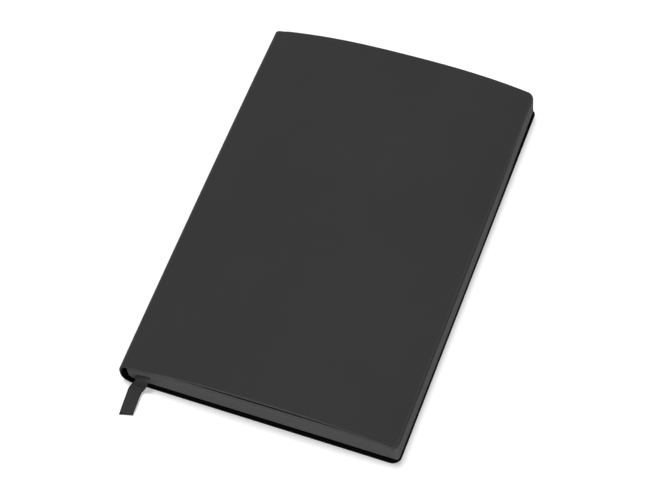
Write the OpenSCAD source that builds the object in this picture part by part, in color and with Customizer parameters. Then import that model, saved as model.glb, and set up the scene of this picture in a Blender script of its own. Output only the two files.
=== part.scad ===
// Soft-cover notebook, closed, lying on its back cover with the spine on the left.
// X runs from the spine to the fore-edge, Y from the tail to the head, Z up from the resting face.
// The origin is the centre of the back cover's underside. All sizes are in millimetres.

/* [Cover] */
// Height of the cover from tail to head
cover_h = 210; // [150:1:300]
// Width of the closed cover from the spine's outer face to the fore-edge
cover_w = 144; // [100:1:220]
// Thickness of the flexible cover
cover_t = 1.2; // [0.8:0.1:2.4]
// Thickness of the stiff board inside the back cover
back_board_t = 1.8; // [0.6:0.1:4]
// How far the board stays inside the back cover's edges
board_inset = 0.3; // [0:0.1:3]
// Radius of the cover's free corners, seen from above
cover_corner_r = 4; // [1:0.5:12]
// Outer radius of the fold between the spine and each cover
spine_fold_r = 4.5; // [2:0.1:5]
// Width of the crease that lets each cover turn
crease_w = 0.3; // [0.2:0.05:0.8]
// Hollow between the spine of the cover and the back of the page block
spine_hollow = 2.8; // [0.6:0.1:5]
// How far the front cover stands back from the back cover at tail and head
front_inset_ends = 0.7; // [0:0.1:3]
// How far the front cover stands back from the back cover at the fore-edge
front_inset_fore = 0.4; // [0:0.1:3]
// How far the middle of the front cover swells above the line between its edges
cover_crown = 7.25; // [2:0.05:9]
// How square the swell is in section, where 2 is a parabola
swell_power = 2.55; // [2:0.05:4]
// How far the front cover lifts off the pages in its middle
cover_lift = 2.3; // [0:0.1:3]

/* [Page block] */
// Thickness of the page block at its spine
block_spine_t = 8.9; // [7:0.1:20]
// Thickness of the page block at its fore-edge
block_fore_t = 10.8; // [5:0.1:20]
// How far the pages stand back from the cover at tail and head
page_inset_ends = 1.1; // [0.3:0.1:4]
// How far the pages stand back from the cover at the fore-edge
page_inset_fore = 0.4; // [0:0.1:4]
// Radius of the page block's free corners, seen from above
page_corner_r = 3.4; // [1:0.2:12]
// Radius of the page block's lower edge along the spine
page_low_r = 3; // [0.4:0.1:3.6]
// Radius of the page block's upper edge along the spine
page_top_r = 1.2; // [0.4:0.1:2.4]

/* [Endpapers and lining] */
// Thickness of each endpaper leaf
endpaper_t = 0.25; // [0.15:0.05:0.6]
// Clearance between each cover's pasted leaf and the leaf that faces it
cover_gap = 0.3; // [0.2:0.05:1]
// How far the pasted leaf stays inside the cover's edge
pastedown_inset = 1.6; // [0.5:0.1:6]
// Thickness of the lining glued to the back of the page block
lining_t = 0.4; // [0.2:0.05:1]
// How far the lining stops short of the page block at tail and head
lining_inset = 1; // [0:0.5:10]

/* [Ribbon] */
// Width of the ribbon
ribbon_w = 6.8; // [4:0.2:12]
// Thickness of the ribbon
ribbon_t = 0.35; // [0.2:0.05:0.6]
// Clearance between the ribbon and the pages round it
ribbon_clearance = 0.1; // [0.05:0.05:0.2]
// Height of the ribbon's middle above the underside of the page block
ribbon_up = 5; // [3.8:0.1:5.4]
// Distance from the back of the page block to the ribbon where it leaves the pages
ribbon_from_spine = 5.2; // [1:0.2:20]
// Length of the ribbon that is glued beside the spine at the head
ribbon_glued = 25; // [5:1:60]
// How far the ribbon runs outward while it falls to the table
ribbon_drop_run = 7.4; // [6:0.2:25]
// Length of the ribbon that lies on the table
ribbon_lie = 10.2; // [1:0.2:80]
// How far the falling ribbon drifts towards the spine
ribbon_drift = 3.8; // [0:0.2:8]
// Slant of the ribbon's cut end, in degrees
ribbon_cut_slant = 17; // [0:1:35]

/* [Hidden] */
$fn = 64;

// Heights of the layers, from the table up
board_z1 = cover_t + back_board_t;
block_z0 = board_z1 + 2 * endpaper_t + cover_gap;
front_layers_t = cover_t + 2 * endpaper_t + cover_gap;
spine_top_z = block_z0 + block_spine_t + front_layers_t;

// Places along X, measured from the spine's outer face
block_x0 = cover_t + spine_hollow + lining_t;
block_x1 = cover_w - page_inset_fore;
crease_overlap = 0.65;
lift_power = 3;
crease_x = block_x0 + crease_overlap;
panel_x0 = crease_x + crease_w / 2;
spine_x1 = crease_x - crease_w / 2;
front_x1 = cover_w - front_inset_fore;
board_hinge_gap = 1;

// Places along Y, measured from the cover's tail edge
page_y0 = page_inset_ends;
page_y1 = cover_h - page_inset_ends;
front_y0 = front_inset_ends;
front_y1 = cover_h - front_inset_ends;

// Folds, limited by the wall that they bend
fold_r = min(spine_fold_r, spine_x1, spine_top_z / 2);
fold_inner_min = 0.3;
fold_inner_r = max(fold_inner_min, fold_r - cover_t);

// The swell of the pages and the front cover, as a line of short chords that all layers share
swell_steps = 44;
swell_line = [for (i = [0:swell_steps])
    let (s = i / swell_steps)
    [panel_x0 + s * (cover_w - panel_x0), 1 - pow(abs(2 * s - 1), swell_power)]];
lift_line = [for (p = swell_line) [p[0], pow(p[1], lift_power)]];
function swell(x) = lookup(x, swell_line);
function across(x) = max(0, (x - panel_x0) / (cover_w - panel_x0));
function lift(x) = lookup(x, lift_line);
function front_inner(x) = spine_top_z - cover_t
    + across(x) * (block_fore_t - block_spine_t) + cover_crown * swell(x);
function block_top(x) = front_inner(x) - cover_gap - 2 * endpaper_t - cover_lift * lift(x);
function swell_xs(x0, x1) = concat([x0], [for (p = swell_line) if (p[0] > x0 && p[0] < x1) p[0]], [x1]);
function backwards(list) = [for (i = [len(list) - 1:-1:0]) list[i]];

// An arc of points, from one angle to another, anticlockwise when the second is larger
function arc(cx, cy, r, a0, a1, steps = 8) =
    [for (i = [0:steps]) let (a = a0 + (a1 - a0) * i / steps) [cx + r * cos(a), cy + r * sin(a)]];

// Draws its children in the book's own corner coordinates, moved to the centred frame
module placed() {
    translate([-cover_w / 2, -cover_h / 2, 0]) children();
}

// Runs a section, drawn in X and Z, along Y
module along_y(y0, y1) {
    translate([0, y1, 0]) rotate([90, 0, 0]) linear_extrude(y1 - y0) children();
}

// Outline seen from above, with its two fore-edge corners rounded
module panel_outline(x0, x1, y0, y1, r) {
    translate([x0, y0]) square([x1 - r - x0, y1 - y0]);
    translate([x0, y0 + r]) square([x1 - x0, y1 - y0 - 2 * r]);
    translate([x1 - r, y0 + r]) circle(r);
    translate([x1 - r, y1 - r]) circle(r);
}

// Trims a panel to its outline seen from above
module trimmed(x0, x1, y0, y1, r) {
    trim_h = spine_top_z + block_fore_t + cover_crown;
    intersection() {
        children();
        translate([0, 0, -1]) linear_extrude(trim_h + 1) panel_outline(x0, x1, y0, y1, r);
    }
}

// Flat cover that the notebook rests on, with a rounded fore-edge
module back_cover() {
    edge_r = cover_t / 2;
    section = concat([[panel_x0, 0]], arc(cover_w - edge_r, edge_r, edge_r, -90, 90), [[panel_x0, cover_t]]);
    color([0.16, 0.16, 0.17]) placed()
        trimmed(panel_x0, cover_w, 0, cover_h, cover_corner_r)
            along_y(0, cover_h) polygon(section);
}

// Swollen cover over the pages, with a rounded fore-edge
module front_cover() {
    edge_r = cover_t / 2;
    edge_x = front_x1 - edge_r;
    xs = swell_xs(panel_x0, edge_x);
    inner = [for (x = xs) [x, front_inner(x)]];
    outer = [for (x = xs) [x, front_inner(x) + cover_t]];
    rounding = arc(edge_x, front_inner(edge_x) + edge_r, edge_r, -90, 90);
    section = concat(inner, [for (i = [1:len(rounding) - 2]) rounding[i]], backwards(outer));
    color([0.24, 0.24, 0.25]) placed()
        trimmed(panel_x0, front_x1, front_y0, front_y1, cover_corner_r)
            along_y(front_y0, front_y1) polygon(section);
}

// Outline of the spine with its two folds, a given depth inside the outer face
module spine_outline(depth, r) {
    h = spine_top_z - 2 * depth;
    w = spine_x1 - depth;
    translate([depth, depth + r]) square([w, h - 2 * r]);
    translate([depth + r, depth]) square([w - r, h]);
    translate([depth + r, depth + r]) circle(r);
    translate([depth + r, depth + h - r]) circle(r);
}

// Wrap round the spine, from one crease to the other, open towards the pages
module spine_cover() {
    color([0.22, 0.22, 0.23]) placed() along_y(0, cover_h) intersection() {
        difference() {
            spine_outline(0, fold_r);
            spine_outline(cover_t, fold_inner_r);
            translate([spine_x1 - fold_inner_min, cover_t])
                square([2 * fold_inner_min, spine_top_z - 2 * cover_t]);
        }
        square([spine_x1, spine_top_z]);
    }
}

// Stiff board inside the back cover
module back_board() {
    color([0.03, 0.03, 0.03]) placed() translate([0, 0, cover_t]) linear_extrude(back_board_t)
        panel_outline(panel_x0 + board_hinge_gap, cover_w - board_inset,
            board_inset, cover_h - board_inset, cover_corner_r);
}

// All the pages as one body, with a swollen top and a slot for the ribbon
module page_block() {
    xs = swell_xs(block_x0 + page_top_r, block_x1);
    top = [for (x = xs) [x, block_top(x)]];
    top_z = block_top(block_x0 + page_top_r) - page_top_r;
    spine_top = arc(block_x0 + page_top_r, top_z, page_top_r, 90, 180);
    spine_bottom = arc(block_x0 + page_low_r, block_z0 + page_low_r, page_low_r, 180, 270);
    section = concat([[block_x1, block_z0]], backwards(top),
        [for (i = [1:len(spine_top) - 1]) spine_top[i]], spine_bottom);
    color([0.33, 0.33, 0.33]) placed() difference() {
        trimmed(block_x0, block_x1, page_y0, page_y1, page_corner_r)
            along_y(page_y0, page_y1) polygon(section);
        ribbon_slot();
    }
}

// Leaf pasted inside the back cover
module back_pastedown() {
    color([0.13, 0.13, 0.13]) placed() translate([0, 0, board_z1]) linear_extrude(endpaper_t)
        panel_outline(panel_x0 + pastedown_inset, cover_w - pastedown_inset,
            pastedown_inset, cover_h - pastedown_inset, cover_corner_r);
}

// Leaf pasted inside the front cover
module front_pastedown() {
    x0 = panel_x0 + pastedown_inset;
    x1 = front_x1 - pastedown_inset;
    y0 = front_y0 + pastedown_inset;
    y1 = front_y1 - pastedown_inset;
    xs = swell_xs(x0, x1);
    section = concat([for (x = xs) [x, front_inner(x) - endpaper_t]],
        backwards([for (x = xs) [x, front_inner(x)]]));
    color([0.13, 0.13, 0.13]) placed()
        trimmed(x0, x1, y0, y1, cover_corner_r) along_y(y0, y1) polygon(section);
}

// Loose leaf under the last page
module back_flyleaf() {
    color([0.15, 0.15, 0.15]) placed() translate([0, 0, block_z0 - endpaper_t]) linear_extrude(endpaper_t)
        panel_outline(block_x0 + page_low_r, block_x1, page_y0, page_y1, page_corner_r);
}

// Loose leaf over the first page
module front_flyleaf() {
    x0 = block_x0 + page_top_r;
    xs = swell_xs(x0, block_x1);
    section = concat([for (x = xs) [x, block_top(x)]],
        backwards([for (x = xs) [x, block_top(x) + endpaper_t]]));
    color([0.15, 0.15, 0.15]) placed()
        trimmed(x0, block_x1, page_y0, page_y1, page_corner_r)
            along_y(page_y0, page_y1) polygon(section);
}

// Strip glued down the back of the page block
module spine_lining() {
    z0 = block_z0 + page_low_r;
    z1 = block_top(block_x0 + page_top_r) - page_top_r;
    color([0.28, 0.27, 0.26]) placed() translate([block_x0 - lining_t, page_y0 + lining_inset, z0])
        cube([lining_t, page_y1 - page_y0 - 2 * lining_inset, z1 - z0]);
}

// The ribbon's run inside the pages: glued beside the spine at the head, then slanting to the tail
ribbon_z = block_z0 + ribbon_up;
ribbon_head_y = page_y1 - lining_inset;
ribbon_bend_y = ribbon_head_y - ribbon_glued;
ribbon_exit_x = block_x0 + ribbon_from_spine;

// Slot through the pages, a clearance larger than the ribbon
module ribbon_slot() {
    c = ribbon_clearance;
    h = ribbon_t + 2 * c;
    past_tail = 1;
    translate([0, 0, ribbon_z - h / 2]) linear_extrude(h) polygon([
        [ribbon_exit_x - c, -past_tail],
        [ribbon_exit_x + ribbon_w + c, -past_tail],
        [ribbon_exit_x + ribbon_w + c, page_y0],
        [block_x0 + ribbon_w + c, ribbon_bend_y],
        [block_x0 + ribbon_w + c, ribbon_head_y + c],
        [block_x0 - c, ribbon_head_y + c],
        [block_x0 - c, ribbon_bend_y],
        [ribbon_exit_x - c, page_y0]]);
}

// The ribbon's free end: it falls along half a cosine wave and then lies on the table
ribbon_rest_z = ribbon_t / 2 + 0.05;
ribbon_fall = ribbon_z - ribbon_rest_z;
drop_steps = 14;
function fall_share(s) = (1 - cos(180 * s)) / 2;
function fall_slope(s) = atan(ribbon_fall * PI / 2 / ribbon_drop_run * sin(180 * s));
// Each ring is [x of the spine-side edge, y, z, tilt, extra y of the spine-side edge]
ribbon_rings = concat(
    [[block_x0, ribbon_head_y, ribbon_z, 0, 0], [block_x0, ribbon_bend_y, ribbon_z, 0, 0]],
    [for (i = [0:drop_steps]) let (s = i / drop_steps)
        [ribbon_exit_x - ribbon_drift * fall_share(s), page_y0 - ribbon_drop_run * s,
         ribbon_z - ribbon_fall * fall_share(s), fall_slope(s), 0]],
    [[ribbon_exit_x - ribbon_drift, page_y0 - ribbon_drop_run - ribbon_lie, ribbon_rest_z, 0,
      -ribbon_w / 2 * tan(ribbon_cut_slant)]]);
function ring_points(r) = let (
    up_y = -sin(r[3]) * ribbon_t / 2,
    up_z = cos(r[3]) * ribbon_t / 2) [
    [r[0], r[1] + r[4] - up_y, r[2] - up_z],
    [r[0] + ribbon_w, r[1] - r[4] - up_y, r[2] - up_z],
    [r[0] + ribbon_w, r[1] - r[4] + up_y, r[2] + up_z],
    [r[0], r[1] + r[4] + up_y, r[2] + up_z]];

// Woven ribbon, glued inside at the head, hanging out of the pages at the tail
module ribbon_bookmark() {
    rings = len(ribbon_rings);
    points = [for (r = ribbon_rings) each ring_points(r)];
    sides = [for (i = [0:rings - 2]) for (k = [0:3])
        let (a = 4 * i + k, b = 4 * i + (k + 1) % 4, c = 4 * (i + 1) + (k + 1) % 4, d = 4 * (i + 1) + k)
        each [[a, b, c], [a, c, d]]];
    last = 4 * (rings - 1);
    ends = [[0, 3, 2], [0, 2, 1], [last, last + 1, last + 2], [last, last + 2, last + 3]];
    color([0.2, 0.2, 0.2]) placed() polyhedron(points, concat(sides, ends), convexity = 6);
}

back_cover();
spine_cover();
front_cover();
back_board();
back_pastedown();
front_pastedown();
page_block();
back_flyleaf();
front_flyleaf();
spine_lining();
ribbon_bookmark();
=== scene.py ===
# Looks of the soft-cover notebook: cover shells, leaves, endpapers, ribbon, camera and light.
# Book coordinates are in millimetres: X from the spine's outer face, Y from the tail edge, Z up.
import math

import bpy
import numpy as np
from mathutils import Matrix, Vector


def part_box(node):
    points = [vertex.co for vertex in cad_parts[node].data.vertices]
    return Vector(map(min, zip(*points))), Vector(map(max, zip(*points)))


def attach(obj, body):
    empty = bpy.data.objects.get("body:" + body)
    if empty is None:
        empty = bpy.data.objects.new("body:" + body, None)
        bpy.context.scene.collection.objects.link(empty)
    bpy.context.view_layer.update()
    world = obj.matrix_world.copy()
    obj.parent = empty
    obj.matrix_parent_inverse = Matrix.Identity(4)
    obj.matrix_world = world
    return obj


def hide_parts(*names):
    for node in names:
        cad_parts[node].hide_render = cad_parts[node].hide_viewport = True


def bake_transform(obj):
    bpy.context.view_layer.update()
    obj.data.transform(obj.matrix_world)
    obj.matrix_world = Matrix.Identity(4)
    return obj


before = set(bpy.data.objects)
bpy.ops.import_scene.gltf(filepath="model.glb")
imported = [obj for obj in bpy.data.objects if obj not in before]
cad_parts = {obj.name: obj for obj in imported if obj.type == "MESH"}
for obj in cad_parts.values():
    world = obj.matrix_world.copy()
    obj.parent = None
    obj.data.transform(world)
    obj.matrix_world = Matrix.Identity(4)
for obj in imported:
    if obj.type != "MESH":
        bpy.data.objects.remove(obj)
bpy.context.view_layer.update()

MM = 0.001
RANDOM_SEED = 7
rng = np.random.default_rng(RANDOM_SEED)


# Places that the frame gives
def node_box(name):
    lo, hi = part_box(name)
    return np.array(lo) / MM, np.array(hi) / MM


spine_lo, spine_hi = node_box("spine_cover")
back_lo, back_hi = node_box("back_cover")
front_lo, front_hi = node_box("front_cover")
block_lo, block_hi = node_box("page_block")
board_lo, board_hi = node_box("back_board")
front_paste_lo, front_paste_hi = node_box("front_pastedown")
back_paste_lo, back_paste_hi = node_box("back_pastedown")
ribbon_hi = node_box("ribbon_bookmark")[1]
corner = np.array([spine_lo[0], back_lo[1], 0.0])

cover_w = back_hi[0] - corner[0]
cover_h = back_hi[1] - back_lo[1]
cover_t = back_hi[2] - back_lo[2]
spine_top = spine_hi[2]
panel_x0 = front_lo[0] - corner[0]
front_x1 = front_hi[0] - corner[0]
front_inset = front_lo[1] - corner[1]
block_x0 = block_lo[0] - corner[0]
# The leaves' edges stand out by the unevenness of their cut, less so at the fore-edge
uneven_cut = 0.3
uneven_fore_share = 0.2
block_x1 = block_hi[0] - corner[0] + uneven_fore_share * uneven_cut
block_inset = block_lo[1] - corner[1] - uneven_cut
block_z0 = block_lo[2]
board_top = board_hi[2]
leaf_t = back_paste_hi[2] - back_paste_lo[2]
front_paste_x0 = front_paste_lo[0] - corner[0]
front_paste_x1 = front_paste_hi[0] - corner[0]
front_paste_inset = front_paste_lo[1] - corner[1]
back_paste_x0 = back_paste_lo[0] - corner[0]
back_paste_x1 = back_paste_hi[0] - corner[0]
back_paste_inset = back_paste_lo[1] - corner[1]

# Form of the swell over the pages, as in the part's source
fore_rise = 1.9
cover_crown = 7.25
swell_power = 2.55
cover_lift = 2.3
lift_power = 3
# The pages sag under the cover, fully from one share of its width to another
page_sag = 1.15
sag_full_at = 0.6
sag_fades_at = 0.9
sag_fade_share = 0.1
fold_r = 4.5
low_fold_r = 6.0
# The back of the spine stands out a little below its upper fold
spine_bulge = 0.19
bulge_full_z = 8.4
bulge_fade = 2.4
# Radii of the corners at the tail and at the head of the fore-edge
front_corner_r = (3.6, 3.7)
back_corner_r = (4.8, 3.1)
leaf_corner_r = (3.6, 3.4)
page_corner_r = 1.6
page_low_r = 3.0
page_top_r = 1.2
# The top of the spine rides up a little where the skin bends over the pages
shoulder_rise = 0.38
shoulder_fade = 5.0
shoulder_reach = 2.0
# The spine stands out a little at mid-length
spine_bow = (-0.15, -0.125, 0.375)
# At the head the upper fold and the pages under it are pressed down a little
fold_press = 0.5
fold_press_from = 175.0
fold_press_to = 205.0
fold_press_z = 9.5
fold_press_fade = 3.5
# Where the closed cover rests on the first leaf, only this gap is left
rest_gap = 0.06
bow_fade_from = 2.0
bow_fade_to = 24.0
# Where the leaves' edges lie: a belly along the fore-edge, drawn in towards its head end
fore_belly = 0.12
fore_draw = 0.5
fore_draw_from = 145.0
fore_draw_to = 205.0
tail_draw = 0.22
tail_draw_to = 110.0
edge_reach = 30.0
edge_level_w = 2.0


def smooth(t):
    t = np.clip(t, 0.0, 1.0)
    return t * t * (3 - 2 * t)


def across(x):
    return np.clip((x - panel_x0) / (cover_w - panel_x0), 0.0, 1.0)


def swell(x):
    return 1 - np.abs(2 * across(x) - 1) ** swell_power


def cover_top(x):
    """Height of the front cover's outer face, with its shoulder at the spine."""
    start_slope = 2 * swell_power * cover_crown / (cover_w - panel_x0)
    below = np.minimum(x - panel_x0, 0.0) * start_slope
    shoulder = shoulder_rise * np.exp(-np.maximum(x - panel_x0, -shoulder_reach) / shoulder_fade)
    return spine_top + fore_rise * across(x) + cover_crown * swell(x) + below + shoulder


def lifted(x):
    """How far the cover stands off the pages."""
    s = across(x)
    hump = smooth(s / sag_full_at) * (1 - smooth((s - sag_fades_at) / sag_fade_share))
    return cover_lift * swell(x) ** lift_power + page_sag * hump


def block_top(x):
    """Height of the uppermost page."""
    return cover_top(x) - cover_t - rest_gap - 2 * leaf_t - lifted(x)


def pressed(points):
    """Presses the upper fold down a little near the head, and what lies under it."""
    x, y, z = points[..., 0], points[..., 1], points[..., 2]
    near_head = smooth((y - fold_press_from) / (fold_press_to - fold_press_from))
    near_fold = (1 - smooth((x - fold_r) / fold_r)) * smooth((z - fold_press_z) / fold_press_fade)
    return np.stack([x, y, z - fold_press * near_head * near_fold], axis=-1)


def settled(points):
    """Moves the edges of the leaves to where they lie in the closed book."""
    x, y, z = points[..., 0], points[..., 1], points[..., 2]
    drawn = smooth((y - fore_draw_from) / (fore_draw_to - fore_draw_from))
    at_fore = smooth((x - block_x1 + edge_reach) / (edge_reach - edge_level_w))
    at_tail = 1 - smooth(y / edge_reach)
    x_shift = (fore_belly * np.sin(math.pi * y / cover_h) - fore_draw * drawn) * at_fore
    y_shift = tail_draw * smooth(x / tail_draw_to) * at_tail
    return np.stack([x + x_shift, y + y_shift, z], axis=-1)


# Sections of the two halves of the cover, as dense lines with their normals
def line_with_normals(points):
    points = np.array(points)
    steps = np.linalg.norm(np.diff(points, axis=0), axis=1)
    length = np.concatenate([[0], np.cumsum(steps)])
    tangent = np.gradient(points, length, axis=0)
    tangent /= np.linalg.norm(tangent, axis=1)[:, None]
    return length, points, tangent


def arc_points(cx, cz, r, a0, a1, count):
    angles = np.radians(np.linspace(a0, a1, count))
    return [(cx + r * math.cos(a), cz + r * math.sin(a)) for a in angles]


section_step = 0.1
slope_step = 0.01
arc_steps = 70
lean_tries = 20
mid_z = spine_top / 2
# Round the folds the skin is a little thinner than on the flat
fold_thinness = 0.96


def spine_x(z):
    """Place of the spine's outer face at one height."""
    return -spine_bulge * float(1 - smooth((z - bulge_full_z) / bulge_fade))


def front_section():
    """Outer face from the middle of the spine, round the upper fold, to the fore-edge."""
    lean = 0.0
    for _ in range(lean_tries):
        join_x = fold_r - fold_r * math.sin(lean)
        slope = (cover_top(join_x + slope_step) - cover_top(join_x - slope_step)) / (2 * slope_step)
        lean = math.atan(slope)
    centre_z = float(cover_top(join_x)) - fold_r * math.cos(lean)
    points = [(spine_x(z), z) for z in np.arange(mid_z, centre_z - section_step / 2, section_step)]
    points += arc_points(fold_r, centre_z, fold_r, 180, 90 + math.degrees(lean), arc_steps)
    xs = np.arange(join_x + section_step, front_x1, section_step)
    points += [(x, float(cover_top(x))) for x in xs]
    points.append((front_x1, float(cover_top(front_x1))))
    return line_with_normals(points)


def back_section():
    """Outer face from the middle of the spine, round the lower fold, to the fore-edge."""
    points = [(spine_x(z), z) for z in np.arange(mid_z, low_fold_r + section_step / 2, -section_step)]
    fold_end = low_fold_r - spine_bulge
    points += arc_points(fold_end, low_fold_r, low_fold_r, 180, 270, arc_steps)
    points += [(x, 0.0) for x in np.arange(fold_end + section_step, cover_w, section_step)]
    points.append((cover_w, 0.0))
    return line_with_normals(points)


def bow(x, y):
    """How far the spine is drawn in towards tail and head."""
    fade = 1 - smooth((x - bow_fade_from) / (bow_fade_to - bow_fade_from))
    from_middle = 2 * y / cover_h - 1
    return (spine_bow[0] + spine_bow[1] * from_middle + spine_bow[2] * from_middle ** 2) * fade


class Skin:
    """A sheet that follows a section.

    Its points are given by the distance along the section, the place along the book and the
    depth under the outer face."""

    def __init__(self, section, outward):
        self.length, self.points, self.tangent = section
        self.outward = outward
        self.end = self.length[-1]

    def place(self, u):
        """X and Z of the outer face."""
        x = np.interp(u, self.length, self.points[:, 0])
        z = np.interp(u, self.length, self.points[:, 1])
        return x, z

    def point(self, u, y, depth):
        x, z = self.place(u)
        tx = np.interp(u, self.length, self.tangent[:, 0])
        tz = np.interp(u, self.length, self.tangent[:, 1])
        nx, nz = -tz * self.outward, tx * self.outward
        size = np.hypot(nx, nz)
        nx, nz = nx / size, nz / size
        flatness = np.maximum(np.abs(nz), fold_thinness)
        x_inner = x - nx * depth * flatness
        z_inner = z - nz * depth * flatness
        return pressed(np.stack([x_inner + bow(x_inner, y), y, z_inner], axis=-1))


def to_world(points):
    return (np.asarray(points).reshape(-1, 3) + corner) * MM


def new_object(name, data):
    """An object with these data, in the scene."""
    made = bpy.data.objects.new(name, data)
    bpy.context.scene.collection.objects.link(made)
    return made


def add_piece(name, points, faces, sharp_angle=40.0):
    """Makes a mesh piece from points in book coordinates."""
    mesh = bpy.data.meshes.new(name)
    mesh.from_pydata(to_world(points).tolist(), [], faces)
    mesh.validate()
    mesh.shade_smooth()
    mesh.set_sharp_from_angle(angle=math.radians(sharp_angle))
    mesh.update()
    return new_object(name, mesh)


def set_vertex_value(piece, name, values):
    attribute = piece.data.attributes.new(name, "FLOAT", "POINT")
    attribute.data.foreach_set("value", np.asarray(values, np.float32))


def set_uv(piece, uv):
    layer = piece.data.uv_layers.new(name="UVMap")
    loops = np.zeros(len(piece.data.loops), np.int32)
    piece.data.loops.foreach_get("vertex_index", loops)
    layer.data.foreach_set("uv", np.asarray(uv, np.float32)[loops].ravel())


def rounding(u, u_end, r, inset):
    """How far a rounded corner, with the inset, takes the outline in from a straight end."""
    inner_r = r - inset
    beyond = np.clip(u - (u_end - r), 0, inner_r)
    return r - np.sqrt(inner_r ** 2 - beyond ** 2)


class Slab:
    """Closed sheet over a grid, free and rounded at the fore-edge, cut square at its first column.

    Each ring is (inset from the outline, depth, share of the rim's bead): the first carries the
    outer face, the last the inner. The low radius of corner_r is that at the tail, and bead(u) is
    the extra thickness of the rim."""

    def __init__(self, u_values, u_end, y_low, y_high, corner_r, rings, shares, corner_steps=10,
                 bead=None):
        self.rings = rings
        self.bead = bead or (lambda u: 0 * u)
        self.shares = np.asarray(shares)
        self.low_r, self.high_r = corner_r
        self.widest_r = max(corner_r)
        self.u_values = np.asarray([u for u in u_values if u < u_end - self.widest_r])
        self.u_end = u_end
        self.y_low = y_low
        self.y_high = y_high
        self.angles = np.radians(np.linspace(0, 90, corner_steps + 1))
        self.columns = len(self.u_values) + len(self.angles)
        self.rows = len(self.shares)

    def outline(self, inset):
        """Tail and head ends of every column."""
        u_corner = self.u_end - self.widest_r + (self.widest_r - inset) * np.sin(self.angles)
        u = np.concatenate([self.u_values, u_corner])
        low = self.y_low(u) + rounding(u, self.u_end, self.low_r, inset)
        high = self.y_high(u) - rounding(u, self.u_end, self.high_r, inset)
        return u, low, high

    def grid(self, inset):
        u, low, high = self.outline(inset)
        y = low[:, None] + (high - low)[:, None] * self.shares[None, :]
        return np.broadcast_to(u[:, None], y.shape), y

    def loop_indices(self):
        """Grid places along the free outline: tail, fore-edge, head."""
        i_last, j_last = self.columns - 1, self.rows - 1
        tail = [(i, 0) for i in range(self.columns)]
        fore = [(i_last, j) for j in range(1, self.rows)]
        head = [(i, j_last) for i in range(i_last - 1, -1, -1)]
        return tail + fore + head

    def build(self, name, surface, sharp_angle=40.0):
        """Makes the piece from surface(u, y, depth).

        Returns it with the u, y and ring number of every vertex."""
        points, us, ys, ring_numbers, layers = [], [], [], [], []
        count = 0
        loop = self.loop_indices()
        last = len(self.rings) - 1
        for k, (inset, depth, bead_share) in enumerate(self.rings):
            u, y = self.grid(inset)
            full_depth = depth + bead_share * self.bead(u.ravel())
            place = surface(u.ravel(), y.ravel(), full_depth).reshape(self.columns, self.rows, 3)
            if k in (0, last):
                total = self.columns * self.rows
                ids = np.arange(count, count + total).reshape(self.columns, self.rows)
                picked = [(i, j) for i in range(self.columns) for j in range(self.rows)]
                layers.append([int(ids[i, j]) for i, j in loop])
                if k == 0:
                    outer = ids
                else:
                    inner = ids
            else:
                picked = loop
                layers.append(list(range(count, count + len(loop))))
            for i, j in picked:
                points.append(place[i, j])
                us.append(u[i, j])
                ys.append(y[i, j])
                ring_numbers.append(k)
            count += len(picked)
        faces = []
        for i in range(self.columns - 1):
            for j in range(self.rows - 1):
                faces.append((outer[i, j], outer[i + 1, j], outer[i + 1, j + 1], outer[i, j + 1]))
                faces.append((inner[i, j], inner[i, j + 1], inner[i + 1, j + 1], inner[i + 1, j]))
        for upper, lower in zip(layers, layers[1:]):
            for n in range(len(upper) - 1):
                faces.append((upper[n], lower[n], lower[n + 1], upper[n + 1]))
        for j in range(self.rows - 1):
            faces.append((outer[0, j], outer[0, j + 1], inner[0, j + 1], inner[0, j]))
        if last > 1:
            faces.append(tuple([layer[0] for layer in layers][::-1]))
            faces.append(tuple([layer[-1] for layer in layers]))
        faces = [tuple(int(v) for v in face) for face in faces]
        piece = add_piece(name, points, faces, sharp_angle)
        return piece, np.array(us), np.array(ys), np.array(ring_numbers)


def edge_rings(thickness, r, steps=3):
    """Rings of a sheet whose two edges are rounded."""
    angles = np.radians(np.linspace(0, 90, steps + 1))
    upper = [(r * (1 - math.sin(a)), r * (1 - math.cos(a)), 0.0) for a in angles]
    lower = [(inset, thickness - depth, 1.0) for inset, depth, _ in reversed(upper)]
    return upper + lower


def row_shares(count, crowd=1.6):
    """Places of the rows from tail to head, closer together at both ends."""
    t = np.linspace(-1, 1, count)
    return (np.sign(t) * (1 - (1 - np.abs(t)) ** crowd) + 1) / 2


def column_places(start, stop, fine_to, fine=0.35, coarse=2.0):
    """Places along a section: close together up to fine_to, then wider apart."""
    close = np.arange(start, fine_to, fine)
    wide = np.arange(fine_to, stop, coarse)
    return np.concatenate([close, wide])


# Cover: two half shells that meet in the middle of the spine
cover_edge_r = 0.2
cover_rows = 71
cover_fine_to = 17.0
turn_in_w = 1.4
turn_in_step = 0.1
# Extra thickness of the front cover's rim
bead_least = 0.38
bead_more = 0.95
bead_power = 1.5
bead_from = 2.0
bead_fade = 3.0
# How far the skin stands out at the head, and for the back half all round
skin_proud = 0.2
proud_from = 6.0
inset_from_z = 10.0
# Cut edges and the inside of the cover are black below these heights and beside the spine: a black
# core, with painted shade that darkens them towards the table and in the spine's hollow
shade_from_z = 11.4
shade_below_z = 9.8
hollow_shade_near_x = 3.0
hollow_shade_fade = 3.0
hollow_rim_shade_fade = 4.0
all_black = 0.99
# Number of the ring at the foot of the rounded edge, and of the one under it
edge_ring = 3
rim_ring = edge_ring + 1
rim_depth = 0.45
# Shares of the black and painted shade on these two rings
edge_ring_shade = 0.2
rim_ring_shade = 0.42
rim_ring_shade_at_spine = 0.85
# Share of the painted highlight on the rim at tail and head; the fore-edge has all of it
highlight_ends = 0.35
highlight_full_w = 0.5
highlight_fade = 2.5
highlight_from_x = 2.0
highlight_spine_fade = 3.0
# Painted highlight on the face beside the fore-edge
face_highlight_share = 0.35
face_highlight_w = 1.6


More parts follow.
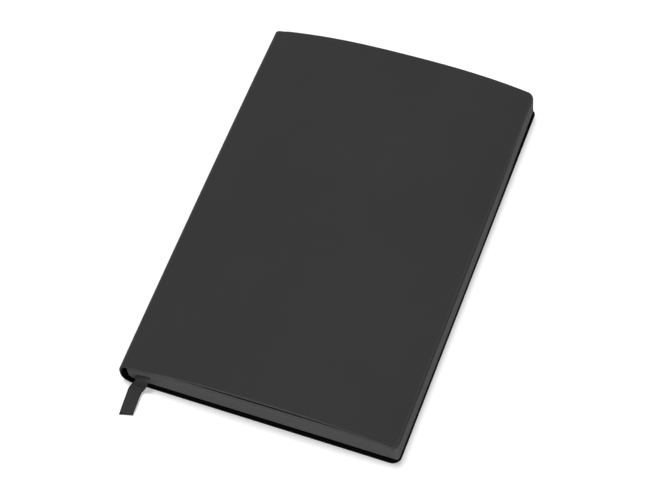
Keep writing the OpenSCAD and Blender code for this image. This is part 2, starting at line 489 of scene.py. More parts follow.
def end_inset(skin, u):
    """The front half stands back at tail and head from the top of the spine on."""
    z = skin.place(u)[1]
    return front_inset * smooth((z - inset_from_z) / (spine_top - inset_from_z))


def turn_in_bead(skin, u):
    """Extra thickness of the front cover's rim, where the skin is folded in."""
    x = skin.place(u)[0]
    off_spine = smooth((x - bead_from) / bead_fade) * (skin.outward > 0)
    return off_spine * (bead_least + bead_more * swell(x) ** bead_power)


def mark_faces(piece, black):
    """Gives the faces that are black all over, black core or painted shade, the second material."""
    for face in piece.data.polygons:
        face.material_index = int(all(black[v] > all_black for v in face.vertices))


def mark_cover(piece, skin, place, ring, last_ring):
    """Says by vertex how black the cover is, black core and painted shade, and how much painted
    highlight it gets.
    """
    x, z = place[:, 0], place[:, 2]
    # Painted shade: the cut edges darken to black low down, towards the table
    low_painted_shade = 1 - smooth((z - shade_below_z) / (shade_from_z - shade_below_z))
    inner_face = ring >= last_ring
    cut_edge = (ring >= edge_ring) & ~inner_face
    # Painted shade: the inside of the spine goes black in its hollow
    hollow_painted_shade = 1 - smooth((x - hollow_shade_near_x) / hollow_shade_fade)
    inside_black_and_shade = 1.0 if skin.outward < 0 else hollow_painted_shade
    black = np.where(inner_face, inside_black_and_shade, np.where(cut_edge, low_painted_shade, 0.0))
    at_spine = 1 - smooth((x - hollow_shade_near_x) / hollow_rim_shade_fade)
    rim_shade = rim_ring_shade + (rim_ring_shade_at_spine - rim_ring_shade) * at_spine
    black = np.where(ring == edge_ring, black * edge_ring_shade, black)
    black = np.where(ring == rim_ring, black * rim_shade, black)
    set_vertex_value(piece, "black_edge_and_shade", black)
    mark_faces(piece, black)
    from_fore = skin.points[-1, 0] - x
    # Painted highlight on the rim, where its rounded edge catches the light
    rim_highlight = highlight_ends + (1 - highlight_ends) * (1 - smooth((from_fore - highlight_full_w) / highlight_fade))
    rim_highlight = rim_highlight * smooth((x - highlight_from_x) / highlight_spine_fade) * (1 - low_painted_shade)
    # Painted highlight on the face beside the fore-edge
    face_highlight = face_highlight_share * (1 - smooth(from_fore / face_highlight_w))
    beside_edge = ring < edge_ring - 1
    rim = cut_edge | (ring == edge_ring - 1)
    light = np.where(rim, rim_highlight, np.where(beside_edge, face_highlight, 0.0))
    set_vertex_value(piece, "edge_painted_highlight", light)


def cover_shell(name, section, outward, corner_r, nodes):
    """Half of the cover; outward is 1 for the front half and -1 for the back half."""
    skin = Skin(section, outward)
    rings = edge_rings(cover_t, cover_edge_r)
    rings.insert(rim_ring, (0.0, rim_depth, 0.0))
    rings += [(turn_in_w, cover_t, 1.0), (turn_in_w + turn_in_step, cover_t, 0.0)]
    tail_proud = skin_proud if outward < 0 else 0.0
    slab = Slab(
        column_places(0.0, skin.end, cover_fine_to), skin.end + tail_proud,
        lambda u: end_inset(skin, u) - tail_proud * smooth(u / proud_from),
        lambda u: cover_h - end_inset(skin, u) + skin_proud,
        corner_r, rings, row_shares(cover_rows), bead=lambda u: turn_in_bead(skin, u))
    piece, u, y, ring = slab.build(name, skin.point)
    mark_cover(piece, skin, skin.point(u, y, 0 * u), ring, len(rings) - 1)
    set_uv(piece, np.stack([u, y], axis=1) * MM)
    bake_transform(piece)
    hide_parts(*nodes)
    return piece


front_shell = cover_shell(
    "cover_front_half", front_section(), 1, front_corner_r, ["front_cover", "spine_cover"])
back_shell = cover_shell(
    "cover_back_half", back_section(), -1, back_corner_r, ["back_cover"])


# Stiff board on the inside of the back cover
board_edge_r = 0.12
board_step = 3.0
flat_rows = 41


def board():
    """The black board, with rounded edges."""
    inset = board_lo[1] - corner[1]
    thickness = board_top - board_lo[2]
    x0 = board_lo[0] - corner[0]
    x1 = board_hi[0] - corner[0]
    slab = Slab(
        np.arange(x0, x1, board_step), x1, lambda u: inset + 0 * u, lambda u: cover_h - inset + 0 * u,
        (back_corner_r[0] - inset, back_corner_r[1] - inset),
        edge_rings(thickness, board_edge_r), row_shares(flat_rows))

    def surface(u, y, depth):
        return np.stack([u, y, board_top - depth], axis=-1)

    piece, u, y, _ = slab.build("board_stiff", surface)
    set_uv(piece, np.stack([u, y], axis=1) * MM)
    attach(piece, "back_panel")
    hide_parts("back_board")
    return piece


board_piece = board()


# Endpapers: thin leaves under the front cover and over the back cover
leaf_step = 2.0
# A face with less of its normal upright than this is a side of the leaf
side_normal = 0.5


def leaf(name, node, body, x0, x1, inset, corner_r, top):
    """A leaf whose upper face is top(x)."""
    slab = Slab(
        np.arange(x0, x1, leaf_step), x1, lambda u: inset + 0 * u, lambda u: cover_h - inset + 0 * u,
        corner_r, [(0.0, 0.0, 0.0), (0.0, leaf_t, 0.0)], row_shares(flat_rows))

    def surface(u, y, depth):
        points = pressed(np.stack([u, y, top(u) - depth + 0 * y], axis=-1))
        return settled(points) if body == "text_block" else points

    piece, u, y, _ = slab.build(name, surface)
    set_uv(piece, np.stack([u, y], axis=1) * MM)
    mark_leaf_sides(piece)
    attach(piece, body)
    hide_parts(node)
    return piece


def mark_leaf_sides(piece):
    """Gives the thin sides of a leaf the second material, that of the dyed edges."""
    for face in piece.data.polygons:
        face.material_index = 1 if abs(face.normal.z) < side_normal else 0


leaves = [
    leaf("front_pasted_leaf", "front_pastedown", "front_panel", front_paste_x0, front_paste_x1,
         front_paste_inset, leaf_corner_r, lambda x: cover_top(x) - cover_t),
    leaf("front_free_leaf", "front_flyleaf", "text_block", block_x0 + page_top_r, block_x1,
         block_inset, leaf_corner_r, lambda x: block_top(x) + leaf_t),
    leaf("back_pasted_leaf", "back_pastedown", "back_panel", back_paste_x0, back_paste_x1,
         back_paste_inset, leaf_corner_r, lambda x: board_top + leaf_t + 0 * x),
    leaf("back_free_leaf", "back_flyleaf", "text_block", block_x0 + page_low_r, block_x1,
         block_inset, (page_corner_r, page_corner_r), lambda x: block_z0 + 0 * x),
]

# Ribbon: its middle line and the half of its width that points to the fore-edge
ribbon_w = 7.1
ribbon_t = 0.34
ribbon_exit = (13.4, 0.5, 9.95)
ribbon_exit_tilt = 0.15
ribbon_outside = [
    ((13.1, -0.55, 9.3), (3.5, 0.0, 0.55)),
    ((12.4, -1.4, 7.65), (3.57, 0.0, 0.55)),
    ((11.6, -1.85, 5.75), (3.7, -0.1, 0.35)),
    ((10.74, -2.15, 3.95), (3.73, -0.2, 0.0)),
    ((10.02, -2.85, 2.8), (3.7, -0.25, -0.2)),
    ((9.35, -4.0, 2.0), (3.66, -0.15, -0.05)),
    ((9.18, -5.6, 1.7), (3.64, -0.05, 0.25)),
    ((9.29, -7.8, 1.6), (3.6, 0.1, 0.4)),
    ((9.48, -11.0, 1.5), (3.56, 0.4, 0.35)),
    ((9.6, -14.2, 1.1), (3.48, 0.65, 0.3)),
    ((9.7, -17.2, 0.46), (3.42, 0.8, 0.25))]


# Pages: layers of leaves with a groove between them, and how unevenly their edges lie
page_layers = 54
leaf_edge_share = 0.12
groove_depth = 0.05
page_jitter = 0.035
page_wander = 0.05
wander_length = 31.0
fore_wander_length = 37.0
# How far these waves shift and turn over from the lowest page to the uppermost, as angles
wander_shift = 4
wander_turn = 5
fore_wander_shift = 3


def layer_profile():
    """Share of the height and place of the edge, from the lowest page up."""
    heights = []
    offsets = []
    layer_offset = rng.normal(0.0, page_jitter, page_layers)
    for k in range(page_layers):
        lower = k / page_layers
        upper = (k + 1) / page_layers
        heights += [lower + leaf_edge_share / page_layers, upper - leaf_edge_share / page_layers]
        offsets += [layer_offset[k], layer_offset[k]]
        if k < page_layers - 1:
            heights.append(upper)
            offsets.append(min(layer_offset[k], layer_offset[k + 1]) - groove_depth)
    heights = np.array([0.0] + heights + [1.0])
    offsets = np.array([offsets[0] - groove_depth] + offsets + [offsets[-1] - groove_depth])
    return heights, offsets


def page_wall():
    """All the pages as one closed body whose sides show the single leaves."""
    fore_from = 2.5
    fore_fade = 2.0
    columns_to_ribbon = 6
    columns_at_ribbon = 18
    columns = 66
    rows = 80
    row_crowd = 1.3
    squeeze_to = 12.0
    corner_steps = 8
    ribbon_margin = 1.0
    sharp_angle = 50.0
    heights, offsets = layer_profile()
    ribbon_from = ribbon_exit[0] - ribbon_w / 2 - ribbon_margin
    ribbon_to = ribbon_exit[0] + ribbon_w / 2 + ribbon_margin
    flat_x = np.concatenate([
        np.linspace(block_x0, ribbon_from, columns_to_ribbon)[:-1],
        np.linspace(ribbon_from, ribbon_to, columns_at_ribbon)[:-1],
        np.linspace(ribbon_to, block_x1 - page_corner_r, columns)])
    angles = np.radians(np.linspace(0, 90, corner_steps + 1))[1:]
    x = np.concatenate([flat_x, block_x1 - page_corner_r + page_corner_r * np.sin(angles)])
    reach = np.concatenate([0 * flat_x, page_corner_r * (1 - np.cos(angles))])
    out_x = np.concatenate([0 * flat_x, np.sin(angles)])
    out_y = np.concatenate([0 * flat_x + 1, np.cos(angles)])
    shares = row_shares(rows, row_crowd)
    n_x = len(x)
    phases = rng.uniform(0, 2 * math.pi, (3, 3))

    def spine_side(height_share):
        """X of the pages' back edge, rounded below and above."""
        total = block_top(block_x0 + page_top_r) - block_z0
        h = height_share * total
        low = max(0.0, 1 - h / page_low_r)
        high = max(0.0, 1 - (total - h) / page_top_r)
        low_x = page_low_r * (1 - math.sqrt(1 - low * low))
        high_x = page_top_r * (1 - math.sqrt(1 - high * high))
        return block_x0 + max(low_x, high_x)

    def loop_row(k):
        """Outline of one height: tail, fore-edge, head, spine."""
        share = heights[k]
        start = spine_side(share)
        t = np.clip((x - block_x0) / (squeeze_to - block_x0), 0, 1)
        xs = np.where(x < squeeze_to, start + t * (squeeze_to - start), x)
        z = block_z0 + share * (block_top(xs) - block_z0)
        sway = page_wander * np.sin(xs / wander_length + phases[0, 0] + wander_shift * share)
        off = offsets[k] + sway * np.sin(wander_turn * share + phases[0, 1])
        tail = np.stack([xs + out_x * off, block_inset + reach - out_y * off, z], axis=-1)
        head = np.stack([xs + out_x * off, cover_h - block_inset - reach + out_y * off, z], axis=-1)
        y_low, y_high = block_inset + page_corner_r, cover_h - block_inset - page_corner_r
        fore_y = y_low + (y_high - y_low) * shares[1:-1]
        fore_angle = fore_y / fore_wander_length + phases[1, 0] + fore_wander_shift * share
        fore_sway = page_wander * np.sin(fore_angle)
        fore_x = block_x1 + offsets[k] + fore_sway * np.sin(math.pi * shares[1:-1])
        fore = np.stack([fore_x, fore_y, np.full_like(fore_y, z[-1])], axis=-1)
        spine_y = block_inset + (cover_h - 2 * block_inset) * shares[1:-1]
        spine = np.stack([np.full_like(spine_y, start), spine_y, np.full_like(spine_y, z[0])], axis=-1)
        return np.concatenate([tail, fore, head[::-1], spine[::-1]])

    loops = np.array([loop_row(k) for k in range(len(heights))])
    n_loop = loops.shape[1]
    points = list(loops.reshape(-1, 3))
    faces = []
    for k in range(len(heights) - 1):
        for n in range(n_loop):
            a, b = k * n_loop + n, k * n_loop + (n + 1) % n_loop
            faces.append((a, b, b + n_loop, a + n_loop))

    def cap(k, upward):
        """Closes the body at one height with a grid between tail and head."""
        base = k * n_loop
        grid = np.zeros((n_x, rows), int)
        grid[:, 0] = base + np.arange(n_x)
        grid[-1, 1:-1] = base + n_x + np.arange(rows - 2)
        grid[:, -1] = base + n_x + rows - 2 + np.arange(n_x)[::-1]
        grid[0, 1:-1] = base + 2 * n_x + rows - 2 + np.arange(rows - 2)[::-1]
        for i in range(1, n_x - 1):
            tail, head = points[grid[i, 0]], points[grid[i, -1]]
            for j in range(1, rows - 1):
                grid[i, j] = len(points)
                points.append(tail + (head - tail) * shares[j])
        for i in range(n_x - 1):
            for j in range(rows - 1):
                face = (grid[i, j], grid[i + 1, j], grid[i + 1, j + 1], grid[i, j + 1])
                faces.append(tuple(int(v) for v in (face if upward else face[::-1])))

    cap(0, False)
    cap(len(heights) - 1, True)
    points = settled(pressed(np.array(points)))
    piece = add_piece("page_leaves", points, faces, sharp_angle)
    # Marks the fore-edge, where the ink is painted paler as painted light
    set_vertex_value(piece, "fore_edge", smooth((points[:, 0] - block_x1 + fore_from) / fore_fade))
    uv = np.zeros((len(points), 2))
    for k in range(len(heights)):
        around = np.concatenate([[0], np.cumsum(np.linalg.norm(np.diff(loops[k], axis=0), axis=1))])
        uv[k * n_loop:(k + 1) * n_loop, 0] = around * MM
        uv[k * n_loop:(k + 1) * n_loop, 1] = heights[k]
    uv[len(heights) * n_loop:, 1] = 1.0
    set_uv(piece, uv)
    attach(piece, "text_block")
    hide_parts("page_block")
    return piece


pages = page_wall()


def curve_through(points, step):
    """Smooth line through the points, with a point about every step."""
    points = np.asarray(points, float)
    padded = np.vstack([2 * points[0] - points[1], points, 2 * points[-1] - points[-2]])
    result = []
    for a, b, c, d in zip(padded, padded[1:], padded[2:], padded[3:]):
        count = max(1, int(round(np.linalg.norm((c - b)[:3]) / step)))
        for t in np.arange(count) / count:
            result.append(0.5 * (2 * b + (c - a) * t + (2 * a - 5 * b + 4 * c - d) * t ** 2
                                 + (3 * b - a - 3 * c + d) * t ** 3))
    result.append(points[-1])
    return np.array(result)


def unit(vectors):
    return vectors / np.linalg.norm(vectors, axis=-1, keepdims=True)


def ribbon():
    """Woven ribbon: glued at the head inside the pages, out at the tail, down to the table."""
    rib_pitch = 0.42
    rib_height = 0.022
    selvage_w = 0.35
    selvage_extra = 0.05
    dark_selvage_w = 0.8
    dark_selvage_fade = 0.25
    seal_length = 0.4
    seal_extra = 0.04
    seal_fade = 0.15
    dark_seal = 0.8
    # Length below the exit over which the ribbon is painted paler: painted light against the cover's
    # shadow
    exit_light_length = 2.6
    glued_length = 25.0
    bevel = 0.08
    rim_w = 0.02
    rim_share = 0.2
    selvage_line = selvage_w * 0.6
    selvage_rib_share = 0.4
    flat_margin = 0.8
    flat_columns = 17
    lip_drop = 0.12
    sharp_angle = 60.0
    head_y = ribbon_hi[1] - corner[1]
    head_x = block_x0 + ribbon_w / 2
    half = ribbon_w / 2
    exit_x, exit_y, exit_z = ribbon_exit
    tilt = half * ribbon_exit_tilt
    inside = [
        ((head_x, head_y, exit_z), (half, 0.0, 0.0)),
        ((head_x, head_y - glued_length, exit_z), (half, 0.0, 0.0)),
        ((head_x + 2.6, 120.0, exit_z), (half, 0.0, 0.0)),
        ((head_x + 5.0, 50.0, exit_z), (half, 0.1, 0.0)),
        ((exit_x + 0.5, 14.0, exit_z), (half, 0.3, tilt * 0.5)),
        ((exit_x + 0.4, 5.0, exit_z), (half, 0.3, tilt * 0.8)),
        ((exit_x + 0.2, exit_y + 1.0, exit_z), (half, 0.2, tilt))]
    lip = [((exit_x, exit_y, exit_z - lip_drop), (half, 0.1, tilt))]
    inner_route = np.array([p + w for p, w in inside])
    outer_route = curve_through([p + w for p, w in inside[-1:] + lip + ribbon_outside], rib_pitch / 4)
    route = np.vstack([inner_route[:-1], outer_route])
    centre, cross = route[:, :3], route[:, 3:]
    steps = np.linalg.norm(np.diff(centre, axis=0), axis=1)
    length = np.concatenate([[0], np.cumsum(steps)])
    along = unit(np.gradient(centre, length, axis=0))
    across_unit = unit(cross)
    skew = np.sum(across_unit * along, axis=1)
    up = unit(np.cross(along, across_unit)) * -1
    up *= np.where(np.arange(len(up)) < len(inside), np.sign(up[:, 2] + 1e-9), 1.0)[:, None]
    for n in range(1, len(up)):
        if np.dot(up[n], up[n - 1]) < 0:
            up[n] *= -1
    offsets = np.concatenate([
        [-half, -half + bevel, -half + selvage_line, -half + selvage_w, -half + selvage_w + bevel],
        np.linspace(-half + flat_margin, half - flat_margin, flat_columns),
        [half - selvage_w - bevel, half - selvage_w, half - selvage_line, half - bevel, half]])
    n_across = len(offsets)
    from_edge = half - np.abs(offsets)
    base_half_t = np.where(from_edge < selvage_w, ribbon_t / 2 + selvage_extra, ribbon_t / 2)
    base_half_t = np.where(from_edge < rim_w, ribbon_t * rim_share, base_half_t)
    total = length[-1]
    rows, uv, row_places = [], [], []
    for n in range(len(route)):
        scale = np.linalg.norm(cross[n]) / half
        place = length[n] + offsets * skew[n] * scale
        free = 0.0 if n < len(inside) else 1.0
        sealed = smooth((length[n] - total + seal_length) / seal_fade)
        rib = rib_height * np.cos(2 * math.pi * place / rib_pitch) * free * (1 - sealed)
        rib = np.where(from_edge > selvage_w, rib, rib * selvage_rib_share)
        half_t = base_half_t + rib + seal_extra * sealed
        middle = centre[n][None, :] + cross[n][None, :] * (offsets / half)[:, None]
        rows.append(np.vstack([
            middle + up[n][None, :] * half_t[:, None],
            (middle - up[n][None, :] * half_t[:, None])[::-1]]))
        flat_x = offsets * scale * math.sqrt(max(0.0, 1 - skew[n] ** 2))
        uv += list(zip(flat_x, place)) + list(zip(flat_x[::-1], place[::-1]))
        row_places += [length[n]] * (2 * n_across)
    n_row = 2 * n_across
    faces = []
    for r in range(len(rows) - 1):
        for n in range(n_row):
            a, b = r * n_row + n, r * n_row + (n + 1) % n_row
            faces.append((a, a + n_row, b + n_row, b))
    last = (len(rows) - 1) * n_row
    for n in range(n_across - 1):
        faces.append((n, n + 1, n_row - 2 - n, n_row - 1 - n))
        faces.append((last + n + 1, last + n, last + n_row - 1 - n, last + n_row - 2 - n))
    piece = add_piece("ribbon_woven", np.vstack(rows), faces, sharp_angle)
    uv = np.array(uv)
    set_uv(piece, uv * MM)
    free_from = length[len(inside) - 1]
    from_side = half - np.abs(uv[:, 0])
    from_end = total - np.array(row_places)
    set_vertex_value(piece, "towards_end", np.clip((uv[:, 1] - free_from) / (total - free_from), 0, 1))
    set_vertex_value(piece, "selvage", smooth((dark_selvage_w - from_side) / dark_selvage_fade))
    set_vertex_value(piece, "sealed_end", smooth((dark_seal - from_end) / seal_fade))
    # Painted light: the ribbon is paler by its exit, where the cover's shadow falls
    set_vertex_value(piece, "exit_painted_light", 1 - smooth((uv[:, 1] - free_from) / exit_light_length))
    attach(piece, "text_block")
    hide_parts("ribbon_bookmark")
    return piece


ribbon_piece = ribbon()


# Materials
class Shader:
    """A node material with one Principled shader."""

    def __init__(self, name):
        self.material = bpy.data.materials.new(name)
        self.material.use_nodes = True
        self.tree = self.material.node_tree
        self.bsdf = self.tree.nodes["Principled BSDF"]

    def node(self, kind, **settings):
        made = self.tree.nodes.new(kind)
        for key, value in settings.items():
            if key in made.inputs:
                made.inputs[key].default_value = value
            else:
                setattr(made, key, value)
        return made

    def link(self, source, target):
        self.tree.links.new(source, target)

    def set(self, **values):
        for key, value in values.items():
            self.bsdf.inputs[key.replace("_", " ")].default_value = value

    def coordinates(self, kind="Object"):
        return self.node("ShaderNodeTexCoord").outputs[kind]

    def noise(self, vector, scale, detail=2.0, roughness=0.5):
        made = self.node("ShaderNodeTexNoise", Scale=scale, Detail=detail, Roughness=roughness)
        self.link(vector, made.inputs["Vector"])
        return made.outputs["Fac"]

    def stretched(self, vector, scale):
        made = self.node("ShaderNodeMapping")
        made.inputs["Scale"].default_value = scale
        self.link(vector, made.inputs["Vector"])
        return made.outputs["Vector"]

    def math(self, operation, a, b):
        made = self.node("ShaderNodeMath", operation=operation)
        for value, socket in ((a, made.inputs[0]), (b, made.inputs[1])):
            if isinstance(value, (int, float)):
                socket.default_value = value
            else:
                self.link(value, socket)
        return made.outputs[0]

    def weighted(self, *pairs):
        """Sum of the values, each times its weight."""
        total = None
        for value, weight in pairs:
            share = self.math("MULTIPLY", value, weight)
            total = share if total is None else self.math("ADD", total, share)
        return total

    def carried(self, name):
        """A value that the piece's vertices carry."""
        return self.node("ShaderNodeAttribute", attribute_name=name).outputs["Fac"]

    def ramp(self, factor, low, high, start=0.3, stop=0.7):
        """Colours between low and high as the factor goes from start to stop."""
        made = self.node("ShaderNodeValToRGB")
        made.color_ramp.elements[0].position = start
        made.color_ramp.elements[0].color = (*low, 1)
        made.color_ramp.elements[1].position = stop
        made.color_ramp.elements[1].color = (*high, 1)
        self.link(factor, made.inputs["Fac"])
        return made.outputs["Color"]

    def mix(self, factor, a, b):
        made = self.node("ShaderNodeMix", data_type="RGBA")
        self.link(factor, made.inputs["Factor"])
        for value, socket in ((a, made.inputs[6]), (b, made.inputs[7])):
            if isinstance(value, tuple):
                socket.default_value = (*value, 1)
            else:
                self.link(value, socket)
        return made.outputs[2]

    def bump(self, height, distance, strength=1.0, after=None):
        made = self.node("ShaderNodeBump", Strength=strength, Distance=distance)
        self.link(height, made.inputs["Height"])
        if after is not None:
            self.link(after, made.inputs["Normal"])
        return made.outputs["Normal"]

    def range(self, value, low, high):
        made = self.node("ShaderNodeMapRange")
        made.inputs["To Min"].default_value = low
        made.inputs["To Max"].default_value = high
        self.link(value, made.inputs["Value"])
        return made.outputs["Result"]


def grey(value, warmth=0.0):
    return (value * (1 + warmth), value, value * (1 - warmth))


# Pitches of the two weaves, in metres
gauze_pitch = 0.0016
warp_pitch = 0.00026
weft_pitch = 0.00042
# Darkest and palest tone of each finish
skin_tones = (grey(0.0280), grey(0.0313, -0.005))
black_tones = (grey(0.0026), grey(0.0052))
# Paler tones of the painted highlight on the rim and beside the fore-edge
highlight_tones = (grey(0.054), grey(0.064))
ink_tones = (grey(0.070), grey(0.094))
# The fore-edge is painted a little paler than tail and head: painted light, making up for less light
# on that side
fore_painted_light_ink_tones = (grey(0.076), grey(0.102))
endpaper_tones = (grey(0.026), grey(0.036))
gauze_tones = (grey(0.060, 0.03), grey(0.100, 0.03))
# The hanging part of the ribbon is painted a little paler than the part on the table: painted light
ribbon_upper_painted_light_tones = (grey(0.0215), grey(0.0356))
ribbon_lower_tones = (grey(0.0210), grey(0.0346))
# Paler tones painted on the ribbon by its exit: painted light against the cover's shadow
ribbon_exit_light_tones = (grey(0.043), grey(0.059))
ribbon_tone_range = (0.38, 0.64)
ribbon_border_tone = grey(0.0150)
ribbon_seal_tone = grey(0.0120)


def cover_material():
    """Soft-touch skin with a very fine grain, black at its cut edges and on its back, with painted
    shade low down and in the spine's hollow, and painted highlight along the rim.
    """
    s = Shader("cover_skin_soft_touch")
    place = s.coordinates()
    grain = s.noise(place, 3200.0, 3.0, 0.6)
    pebble = s.noise(place, 1300.0, 2.0, 0.5)
    cloud = s.noise(place, 22.0, 3.0, 0.5)
    tone = s.weighted((cloud, 0.5), (grain, 0.5))
    skin = s.ramp(tone, *skin_tones, 0.35, 0.65)
    # Black core at the cut edges, with painted shade there low down and in the spine's hollow
    edge = s.ramp(grain, *black_tones)
    # Painted highlight on the rim and on the face beside the fore-edge
    rim_highlight = s.ramp(grain, *highlight_tones)
    highlighted_skin = s.mix(s.carried("edge_painted_highlight"), skin, rim_highlight)
    s.link(s.mix(s.carried("black_edge_and_shade"), highlighted_skin, edge), s.bsdf.inputs["Base Color"])
    s.link(s.range(pebble, 0.56, 0.68), s.bsdf.inputs["Roughness"])
    relief = s.bump(pebble, 0.00003, 0.6)
    s.link(s.bump(grain, 0.00001, 0.5, relief), s.bsdf.inputs["Normal"])
    s.set(Specular_IOR_Level=0.06)
    return s.material


def page_material():
    """Dyed leaf edges: thin lines along the leaves, with slightly uneven ink, painted paler at the
    fore-edge as painted light.
    """
    s = Shader("page_edge_dyed")
    uv = s.coordinates("UV")
    place = s.coordinates()
    lines = s.noise(s.stretched(uv, (40.0, 130.0, 1.0)), 1.0, 3.0, 0.6)
    gathers = s.noise(s.stretched(uv, (18.0, 14.0, 1.0)), 1.0, 2.0, 0.5)
    fibre = s.noise(place, 2600.0, 3.0, 0.7)
    tone = s.weighted((lines, 0.5), (gathers, 0.3), (fibre, 0.2))
    ink = s.mix(s.carried("fore_edge"), s.ramp(tone, *ink_tones), s.ramp(tone, *fore_painted_light_ink_tones))
    s.link(ink, s.bsdf.inputs["Base Color"])
    s.link(s.range(fibre, 0.8, 0.95), s.bsdf.inputs["Roughness"])
    s.link(s.bump(lines, 0.00003, 0.5, s.bump(fibre, 0.00001, 0.4)), s.bsdf.inputs["Normal"])
    s.set(Specular_IOR_Level=0.15)
    return s.material


def endpaper_material():
    """Nearly black laid paper: fine parallel lines and loose fibres."""
    s = Shader("endpaper_laid")
    uv = s.coordinates("UV")
    laid = s.noise(s.stretched(uv, (1400.0, 12.0, 1.0)), 1.0, 2.0, 0.5)
    fibre = s.noise(uv, 1500.0, 4.0, 0.7)
    tone = s.weighted((laid, 0.5), (fibre, 0.5))
    s.link(s.ramp(tone, *endpaper_tones), s.bsdf.inputs["Base Color"])
    s.link(s.range(fibre, 0.8, 0.95), s.bsdf.inputs["Roughness"])
    s.link(s.bump(tone, 0.00002, 0.5), s.bsdf.inputs["Normal"])
    s.set(Specular_IOR_Level=0.15)
    return s.material


def board_material():
    """Black pressed board with short fibres."""
    s = Shader("board_pressed")
    place = s.coordinates()
    fibre = s.noise(s.stretched(place, (900.0, 900.0, 4000.0)), 1.0, 4.0, 0.7)
    s.link(s.ramp(fibre, *black_tones), s.bsdf.inputs["Base Color"])
    s.link(s.range(fibre, 0.85, 0.95), s.bsdf.inputs["Roughness"])
    s.link(s.bump(fibre, 0.00004, 0.6), s.bsdf.inputs["Normal"])
    s.set(Specular_IOR_Level=0.0)
    return s.material


def weave(s, across_place, along_place, across_pitch, along_pitch):
    """Height of a plain weave from two crossing waves."""
    warp = s.math("SINE", s.math("MULTIPLY", across_place, 2 * math.pi / across_pitch), 0)
    weft = s.math("SINE", s.math("MULTIPLY", along_place, 2 * math.pi / along_pitch), 0)
    return s.math("MULTIPLY", warp, weft)


def lining_material():
    """Glued gauze on the back of the pages."""
    s = Shader("lining_gauze")
    parts = s.node("ShaderNodeSeparateXYZ")
    s.link(s.coordinates(), parts.inputs[0])
    cross = weave(s, parts.outputs["Y"], parts.outputs["Z"], gauze_pitch, gauze_pitch)
    glue = s.noise(s.coordinates(), 300.0, 3.0, 0.6)
    tone = s.math("ADD", s.math("MULTIPLY", cross, 0.3), glue)
    s.link(s.ramp(tone, *gauze_tones, 0.2, 0.9), s.bsdf.inputs["Base Color"])
    s.link(s.range(glue, 0.6, 0.95), s.bsdf.inputs["Roughness"])
    s.link(s.bump(tone, 0.0001, 0.6), s.bsdf.inputs["Normal"])
    s.set(Specular_IOR_Level=0.2)
    return s.material


def ribbon_material():
    """Tightly woven satin: weft ribs across, fine warp threads along."""
    s = Shader("ribbon_satin")
    uv = s.coordinates("UV")
    parts = s.node("ShaderNodeSeparateXYZ")
    s.link(uv, parts.inputs[0])
    cross = weave(s, parts.outputs["X"], parts.outputs["Y"], warp_pitch, weft_pitch)
    threads = s.noise(s.stretched(uv, (6000.0, 400.0, 1.0)), 1.0, 2.0, 0.5)
    slubs = s.noise(uv, 950.0, 2.0, 0.6)
    tone = s.weighted((cross, 0.2), (threads, 0.5), (slubs, 0.5))
    upper = s.ramp(tone, *ribbon_upper_painted_light_tones, *ribbon_tone_range)
    lower = s.ramp(tone, *ribbon_lower_tones, *ribbon_tone_range)
    # Painted light: the ribbon paler by its exit
    exit_lit_colour = s.ramp(tone, *ribbon_exit_light_tones, *ribbon_tone_range)
    # Painted light: paler on the hanging part, darker where the ribbon lies on the table
    colour = s.mix(s.carried("towards_end"), upper, lower)
    colour = s.mix(s.carried("selvage"), colour, ribbon_border_tone)
    colour = s.mix(s.carried("exit_painted_light"), colour, exit_lit_colour)
    colour = s.mix(s.carried("sealed_end"), colour, ribbon_seal_tone)
    s.link(colour, s.bsdf.inputs["Base Color"])
    s.link(s.range(threads, 0.5, 0.7), s.bsdf.inputs["Roughness"])
    s.link(s.bump(tone, 0.00003, 0.5), s.bsdf.inputs["Normal"])
    s.set(Specular_IOR_Level=0.08, Sheen_Weight=0.02, Sheen_Roughness=0.4)
    return s.material


def dress(piece, *materials):
    """Gives a piece its materials and keeps which face has which."""
    indices = [face.material_index for face in piece.data.polygons]
    piece.data.materials.clear()
    for material in materials:
        piece.data.materials.append(material)
    for face, index in zip(piece.data.polygons, indices):
        face.material_index = min(index, len(materials) - 1)


cover_skin = cover_material()
endpaper = endpaper_material()
black_board = board_material()
for shell in (front_shell, back_shell):
    dress(shell, cover_skin, black_board)
dress(board_piece, black_board)
dyed_edge = page_material()
for paper in leaves:
    dress(paper, endpaper, dyed_edge)
dress(pages, dyed_edge)
dress(ribbon_piece, ribbon_material())
dress(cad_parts["spine_lining"], lining_material())


# Floor, light and camera
floor_half = 3.0
floor_drop = 0.00002
floor_white = 0.90
floor_glow = 0.25


def white_for_viewer(tree):
    """1 where the background is seen directly or in a gloss, 0 where it only lights the object."""
    path = tree.nodes.new("ShaderNodeLightPath")
    total = path.outputs["Is Camera Ray"]
    for name in ("Is Glossy Ray", "Is Transmission Ray"):
        either = tree.nodes.new("ShaderNodeMath")
        either.operation = "MAXIMUM"
        tree.links.new(total, either.inputs[0])
        tree.links.new(path.outputs[name], either.inputs[1])
        total = either.outputs[0]
    return total


def floor_material():
    """White paper sweep that keeps the shadow."""
    material = bpy.data.materials.new("floor_white")
    material.use_nodes = True
    tree = material.node_tree
    bsdf = tree.nodes["Principled BSDF"]
    bsdf.inputs["Roughness"].default_value = 1.0
    bsdf.inputs["Specular IOR Level"].default_value = 0.0
    bsdf.inputs["Base Color"].default_value = (floor_white, floor_white, floor_white, 1)
    bsdf.inputs["Emission Color"].default_value = (1, 1, 1, 1)
    glow = tree.nodes.new("ShaderNodeMath")
    glow.operation = "MULTIPLY"
    tree.links.new(white_for_viewer(tree), glow.inputs[0])
    glow.inputs[1].default_value = floor_glow
    tree.links.new(glow.outputs[0], bsdf.inputs["Emission Strength"])
    return material


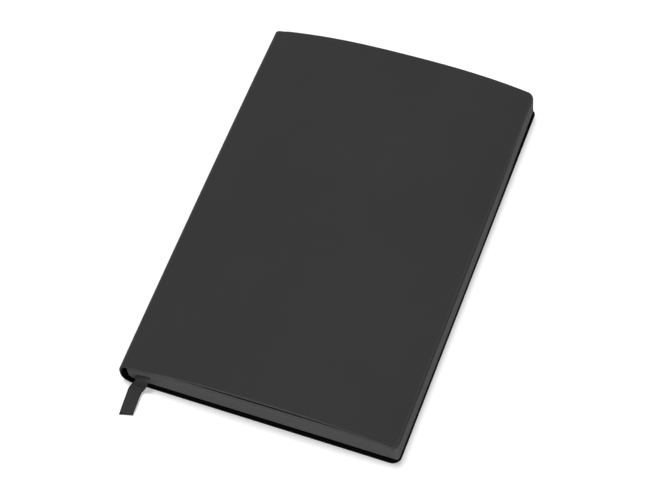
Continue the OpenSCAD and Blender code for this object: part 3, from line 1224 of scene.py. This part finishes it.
def make_floor():
    mesh = bpy.data.meshes.new("floor")
    h = floor_half
    mesh.from_pydata([(-h, -h, 0), (h, -h, 0), (h, h, 0), (-h, h, 0)], [], [(0, 1, 2, 3)])
    floor = new_object("floor", mesh)
    floor.location.z = -floor_drop
    floor.data.materials.append(floor_material())


ambient = 0.15
# Name, direction towards the lamp, level on a face turned to it, width in degrees
lamps = [
    ("key", (-0.12, 0.13, 1.0), 0.62, 16.0),
    ("fill", (0.70, -0.66, 0.34), 0.60, 60.0),
    ("side", (-0.75, 0.35, 0.50), 0.24, 50.0),
]


def make_light():
    world = bpy.data.worlds.new("studio")
    bpy.context.scene.world = world
    world.use_nodes = True
    tree = world.node_tree
    background = tree.nodes["Background"]
    strength = tree.nodes.new("ShaderNodeMapRange")
    strength.inputs["To Min"].default_value = ambient
    strength.inputs["To Max"].default_value = 1.0
    tree.links.new(white_for_viewer(tree), strength.inputs["Value"])
    background.inputs["Color"].default_value = (1, 1, 1, 1)
    tree.links.new(strength.outputs["Result"], background.inputs["Strength"])
    for name, direction, level, spread in lamps:
        data = bpy.data.lights.new(name, "SUN")
        data.energy = level * math.pi
        data.angle = math.radians(spread)
        lamp = new_object(name, data)
        lamp.rotation_mode = "QUATERNION"
        lamp.rotation_quaternion = Vector(direction).to_track_quat("Z", "Y")


# Camera, fitted to the photograph's straight edges
image_w = 650
camera_azimuth = 28.73
camera_elevation = 59.59
camera_roll = -9.25
camera_distance = 1.0531
camera_focal_px = 2097.8
camera_aim = (68.96, 99.23, 0.0)
sensor_w = 36.0
clip_near = 0.05
clip_far = 20.0


def make_camera():
    data = bpy.data.cameras.new("camera")
    data.sensor_width = sensor_w
    data.lens = camera_focal_px * sensor_w / image_w
    data.clip_start = clip_near
    data.clip_end = clip_far
    a, e = math.radians(camera_azimuth), math.radians(camera_elevation)
    back = Vector((math.sin(a) * math.cos(e), -math.cos(a) * math.cos(e), math.sin(e)))
    right = Vector((math.cos(a), math.sin(a), 0.0))
    up = back.cross(right)
    roll = math.radians(camera_roll)
    turned_right = right * math.cos(roll) + up * math.sin(roll)
    turned_up = up * math.cos(roll) - right * math.sin(roll)
    place = Vector(to_world([camera_aim])[0]) + back * camera_distance
    camera = new_object("camera", data)
    camera.matrix_world = Matrix((
        (turned_right.x, turned_up.x, back.x, place.x),
        (turned_right.y, turned_up.y, back.y, place.y),
        (turned_right.z, turned_up.z, back.z, place.z),
        (0, 0, 0, 1)))
    bpy.context.scene.camera = camera


make_floor()
make_light()
make_camera()
bpy.context.scene.view_settings.view_transform = "Standard"
